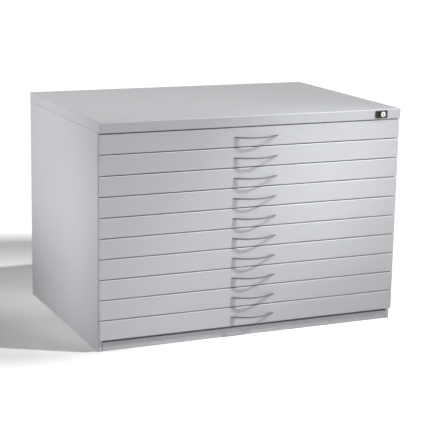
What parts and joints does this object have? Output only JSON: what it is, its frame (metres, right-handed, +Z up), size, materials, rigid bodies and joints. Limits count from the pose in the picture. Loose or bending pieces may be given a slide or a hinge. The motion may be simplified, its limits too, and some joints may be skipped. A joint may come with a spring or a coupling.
{
  "type": "plan chest",
  "caption": "Low wide steel plan chest: shallow full-width drawers with bow handles on telescopic rails, one lock in the cover's rim, standing on a recessed plinth.",
  "frame": {"origin": "on the floor, in the middle of the chest's outline with the handles", "axes": "+X to the right as one faces the drawers, -Y the way the drawers open, +Z up"},
  "size_m": [1.1, 0.7904, 0.76],
  "materials": {
    "casing_paint": "silver-grey powder coat, fine texture, satin",
    "front_paint": "silver-grey powder coat, fine texture, satin",
    "tray_paint": "silver-grey powder coat, satin",
    "handle_metal": "dark grey powder coat, satin",
    "rail_zinc": "bright zinc plated",
    "lock_plastic": "black, moulded",
    "lock_nickel": "nickel plated, satin",
    "lock_steel": "zinc plated strip"
  },
  "bodies": {
    "casing": {"left_side_panel": "casing_paint", "right_side_panel": "casing_paint", "back_panel": "casing_paint", "top_cover": "casing_paint", "base_panel": "casing_paint", "plinth_panel": "casing_paint", "casing_rails": "rail_zinc", "lock_housing": "lock_plastic"},
    "lock_plug": {"lock_cylinder": "lock_nickel"},
    "lock_rod": {"lock_bar": "lock_steel"},
    "drawer_01": {"drawer_front_01": "front_paint", "drawer_tray_01": "tray_paint", "drawer_handle_01": "handle_metal", "drawer_rails_01": "rail_zinc"},
    "slide_stage_01": {"middle_rails_01": "rail_zinc"},
    "drawer_02": {"drawer_front_02": "front_paint", "drawer_tray_02": "tray_paint", "drawer_handle_02": "handle_metal", "drawer_rails_02": "rail_zinc"},
    "slide_stage_02": {"middle_rails_02": "rail_zinc"},
    "drawer_03": {"drawer_front_03": "front_paint", "drawer_tray_03": "tray_paint", "drawer_handle_03": "handle_metal", "drawer_rails_03": "rail_zinc"},
    "slide_stage_03": {"middle_rails_03": "rail_zinc"},
    "drawer_04": {"drawer_front_04": "front_paint", "drawer_tray_04": "tray_paint", "drawer_handle_04": "handle_metal", "drawer_rails_04": "rail_zinc"},
    "slide_stage_04": {"middle_rails_04": "rail_zinc"},
    "drawer_05": {"drawer_front_05": "front_paint", "drawer_tray_05": "tray_paint", "drawer_handle_05": "handle_metal", "drawer_rails_05": "rail_zinc"},
    "slide_stage_05": {"middle_rails_05": "rail_zinc"},
    "drawer_06": {"drawer_front_06": "front_paint", "drawer_tray_06": "tray_paint", "drawer_handle_06": "handle_metal", "drawer_rails_06": "rail_zinc"},
    "slide_stage_06": {"middle_rails_06": "rail_zinc"},
    "drawer_07": {"drawer_front_07": "front_paint", "drawer_tray_07": "tray_paint", "drawer_handle_07": "handle_metal", "drawer_rails_07": "rail_zinc"},
    "slide_stage_07": {"middle_rails_07": "rail_zinc"},
    "drawer_08": {"drawer_front_08": "front_paint", "drawer_tray_08": "tray_paint", "drawer_handle_08": "handle_metal", "drawer_rails_08": "rail_zinc"},
    "slide_stage_08": {"middle_rails_08": "rail_zinc"},
    "drawer_09": {"drawer_front_09": "front_paint", "drawer_tray_09": "tray_paint", "drawer_handle_09": "handle_metal", "drawer_rails_09": "rail_zinc"},
    "slide_stage_09": {"middle_rails_09": "rail_zinc"},
    "drawer_10": {"drawer_front_10": "front_paint", "drawer_tray_10": "tray_paint", "drawer_handle_10": "handle_metal", "drawer_rails_10": "rail_zinc"},
    "slide_stage_10": {"middle_rails_10": "rail_zinc"}
  },
  "joints": [
    {"name": "lock_turn", "type": "hinge", "parent": "casing", "child": "lock_plug", "pos_m": [0.4785, -0.36975, 0.7425], "axis": [0, 1, 0], "range_deg": [0, 90]},
    {"name": "lock_bar_drop", "type": "slide", "parent": "casing", "child": "lock_rod", "axis": [0, 0, -1], "range_m": [0, 0.008]},
    {"name": "drawer_01_slide", "type": "slide", "parent": "casing", "child": "drawer_01", "axis": [0, -1, 0], "range_m": [0, 0.64]},
    {"name": "slide_stage_01_slide", "type": "slide", "parent": "casing", "child": "slide_stage_01", "axis": [0, -1, 0], "range_m": [0, 0.32]},
    {"name": "drawer_02_slide", "type": "slide", "parent": "casing", "child": "drawer_02", "axis": [0, -1, 0], "range_m": [0, 0.64]},
    {"name": "slide_stage_02_slide", "type": "slide", "parent": "casing", "child": "slide_stage_02", "axis": [0, -1, 0], "range_m": [0, 0.32]},
    {"name": "drawer_03_slide", "type": "slide", "parent": "casing", "child": "drawer_03", "axis": [0, -1, 0], "range_m": [0, 0.64]},
    {"name": "slide_stage_03_slide", "type": "slide", "parent": "casing", "child": "slide_stage_03", "axis": [0, -1, 0], "range_m": [0, 0.32]},
    {"name": "drawer_04_slide", "type": "slide", "parent": "casing", "child": "drawer_04", "axis": [0, -1, 0], "range_m": [0, 0.64]},
    {"name": "slide_stage_04_slide", "type": "slide", "parent": "casing", "child": "slide_stage_04", "axis": [0, -1, 0], "range_m": [0, 0.32]},
    {"name": "drawer_05_slide", "type": "slide", "parent": "casing", "child": "drawer_05", "axis": [0, -1, 0], "range_m": [0, 0.64]},
    {"name": "slide_stage_05_slide", "type": "slide", "parent": "casing", "child": "slide_stage_05", "axis": [0, -1, 0], "range_m": [0, 0.32]},
    {"name": "drawer_06_slide", "type": "slide", "parent": "casing", "child": "drawer_06", "axis": [0, -1, 0], "range_m": [0, 0.64]},
    {"name": "slide_stage_06_slide", "type": "slide", "parent": "casing", "child": "slide_stage_06", "axis": [0, -1, 0], "range_m": [0, 0.32]},
    {"name": "drawer_07_slide", "type": "slide", "parent": "casing", "child": "drawer_07", "axis": [0, -1, 0], "range_m": [0, 0.64]},
    {"name": "slide_stage_07_slide", "type": "slide", "parent": "casing", "child": "slide_stage_07", "axis": [0, -1, 0], "range_m": [0, 0.32]},
    {"name": "drawer_08_slide", "type": "slide", "parent": "casing", "child": "drawer_08", "axis": [0, -1, 0], "range_m": [0, 0.64]},
    {"name": "slide_stage_08_slide", "type": "slide", "parent": "casing", "child": "slide_stage_08", "axis": [0, -1, 0], "range_m": [0, 0.32]},
    {"name": "drawer_09_slide", "type": "slide", "parent": "casing", "child": "drawer_09", "axis": [0, -1, 0], "range_m": [0, 0.64]},
    {"name": "slide_stage_09_slide", "type": "slide", "parent": "casing", "child": "slide_stage_09", "axis": [0, -1, 0], "range_m": [0, 0.32]},
    {"name": "drawer_10_slide", "type": "slide", "parent": "casing", "child": "drawer_10", "axis": [0, -1, 0], "range_m": [0, 0.64]},
    {"name": "slide_stage_10_slide", "type": "slide", "parent": "casing", "child": "slide_stage_10", "axis": [0, -1, 0], "range_m": [0, 0.32]}
  ],
  "couplings": [
    {"joint": "lock_turn", "follows": "lock_bar_drop", "rad_per_m": 196.35},
    {"joint": "slide_stage_01_slide", "follows": "drawer_01_slide", "ratio": 0.5},
    {"joint": "slide_stage_02_slide", "follows": "drawer_02_slide", "ratio": 0.5},
    {"joint": "slide_stage_03_slide", "follows": "drawer_03_slide", "ratio": 0.5},
    {"joint": "slide_stage_04_slide", "follows": "drawer_04_slide", "ratio": 0.5},
    {"joint": "slide_stage_05_slide", "follows": "drawer_05_slide", "ratio": 0.5},
    {"joint": "slide_stage_06_slide", "follows": "drawer_06_slide", "ratio": 0.5},
    {"joint": "slide_stage_07_slide", "follows": "drawer_07_slide", "ratio": 0.5},
    {"joint": "slide_stage_08_slide", "follows": "drawer_08_slide", "ratio": 0.5},
    {"joint": "slide_stage_09_slide", "follows": "drawer_09_slide", "ratio": 0.5},
    {"joint": "slide_stage_10_slide", "follows": "drawer_10_slide", "ratio": 0.5}
  ]
}
